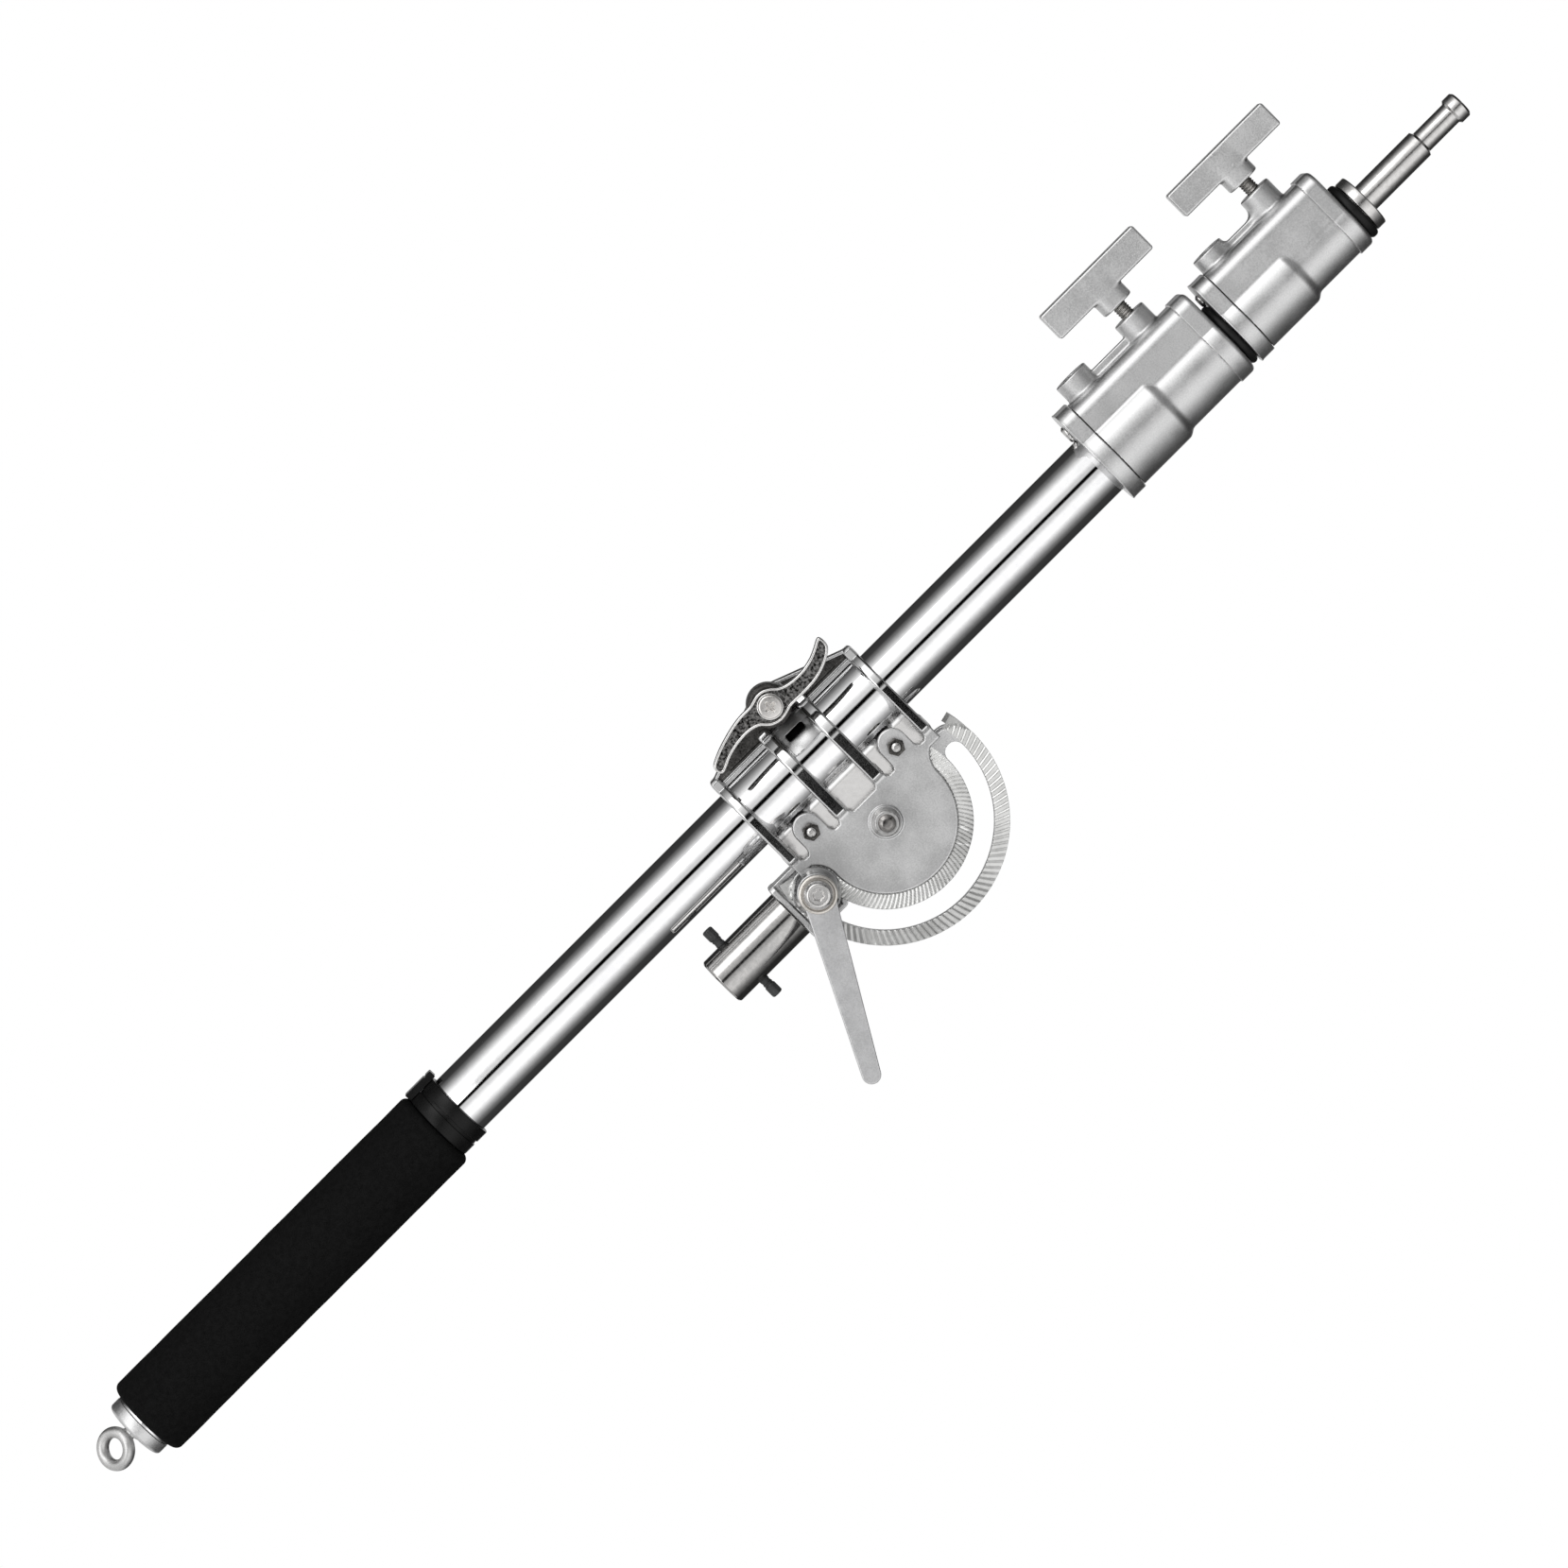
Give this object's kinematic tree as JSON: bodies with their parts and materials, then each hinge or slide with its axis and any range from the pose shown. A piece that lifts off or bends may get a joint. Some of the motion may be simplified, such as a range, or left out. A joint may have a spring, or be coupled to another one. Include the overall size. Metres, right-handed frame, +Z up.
{
  "type": "overhead boom arm",
  "caption": "Telescopic overhead boom arm in a tilting cast cradle on a 28 mm stud, with T-handle tube locks, a tilt lever, a wing clamp and a 16 mm spigot.",
  "frame": {"origin": "centre of the stud's shoulder, in the underside of the yoke bracket's foot plate", "axes": "+Z up, against the stud, along the folded boom; +X towards the tilt lever's side, away from the boom; +Y towards the heads of the bolts"},
  "size_m": [0.2163, 0.0676, 0.9874],
  "materials": {
    "chrome": "mirror chrome on steel",
    "cast_aluminium": "satin casting",
    "sprayed_casting": "grey sprayed casting",
    "dark_casting": "dark casting with polished rims",
    "steel": "zinc-plated",
    "brass": "turned",
    "foam": "matte closed-cell foam",
    "plastic": "matte black",
    "rubber": "matte black"
  },
  "bodies": {
    "stand_head": {"stand_stud": "chrome", "yoke_bracket": "cast_aluminium", "pivot_bolt": "steel", "pivot_washer_back": "steel", "pivot_washer_front": "steel", "pivot_nut": "steel", "tilt_bolt": "steel", "pressure_washer_back": "cast_aluminium", "pressure_washer_front": "sprayed_casting"},
    "thumb_screw_a": {"socket_screw_a": "plastic"},
    "thumb_screw_b": {"socket_screw_b": "plastic"},
    "tilt_clamp_lever": {"tilt_lever": "sprayed_casting", "lever_ring": "brass", "lever_screw": "steel"},
    "cradle": {"casting_back": "cast_aluminium", "casting_front": "cast_aluminium", "liner_back": "chrome", "liner_front": "chrome", "shell_bolt_1": "steel", "shell_nut_1": "steel", "shell_bolt_2": "steel", "shell_nut_2": "steel", "wing_bolt": "steel", "wing_spacer": "dark_casting"},
    "wing": {"wing_handle": "dark_casting", "wing_screw": "steel"},
    "boom": {"main_tube": "chrome", "end_cap": "cast_aluminium", "eye_bolt": "cast_aluminium", "eye_nut": "steel", "foam_grip": "foam", "cable_clip": "plastic", "clip_latch": "plastic", "collar_1": "cast_aluminium", "collar_cover_1": "cast_aluminium", "cover_screw_1": "steel", "set_screw_1": "steel", "brake_shoe_1": "brass"},
    "handle_1": {"clamp_screw_1": "steel", "t_handle_1": "cast_aluminium"},
    "middle_stage": {"middle_tube": "chrome", "guide_bush_1": "plastic", "rubber_ring_1": "rubber", "collar_2": "cast_aluminium", "collar_cover_2": "cast_aluminium", "cover_screw_2": "steel", "set_screw_2": "steel", "brake_shoe_2": "brass"},
    "handle_2": {"clamp_screw_2": "steel", "t_handle_2": "cast_aluminium"},
    "inner_stage": {"inner_tube": "chrome", "guide_bush_2": "plastic", "rubber_ring_2": "rubber", "spigot_base": "chrome", "spigot": "chrome"}
  },
  "joints": [
    {"name": "tilt", "type": "hinge", "parent": "stand_head", "child": "cradle", "pos_m": [0, 0, 0.0677], "axis": [0, 1, 0], "range_deg": [0, 180]},
    {"name": "lever_turn", "type": "hinge", "parent": "stand_head", "child": "tilt_clamp_lever", "pos_m": [0, 0, 0.0172], "axis": [0, 1, 0], "range_deg": [-20, 90]},
    {"name": "socket_screw_a_turn", "type": "hinge", "parent": "stand_head", "child": "thumb_screw_a", "pos_m": [0, 0, -0.0372], "axis": [1, 0, 0], "continuous": true},
    {"name": "socket_screw_b_turn", "type": "hinge", "parent": "stand_head", "child": "thumb_screw_b", "pos_m": [0, 0, -0.0343], "axis": [1, 0, 0], "continuous": true},
    {"name": "wing_turn", "type": "hinge", "parent": "cradle", "child": "wing", "pos_m": [-0.0852, 0, 0.0677], "axis": [0, 1, 0], "continuous": true},
    {"name": "boom_slide", "type": "slide", "parent": "cradle", "child": "boom", "axis": [0, 0, 1], "range_m": [-0.15, 0.205]},
    {"name": "t_handle_1_turn", "type": "hinge", "parent": "boom", "child": "handle_1", "pos_m": [-0.051, 0, 0.3393], "axis": [1, 0, 0], "continuous": true},
    {"name": "middle_slide", "type": "slide", "parent": "boom", "child": "middle_stage", "axis": [0, 0, 1], "range_m": [0, 0.58]},
    {"name": "t_handle_2_turn", "type": "hinge", "parent": "middle_stage", "child": "handle_2", "pos_m": [-0.051, 0, 0.4296], "axis": [1, 0, 0], "continuous": true},
    {"name": "inner_slide", "type": "slide", "parent": "middle_stage", "child": "inner_stage", "axis": [0, 0, 1], "range_m": [0, 0.56]}
  ]
}
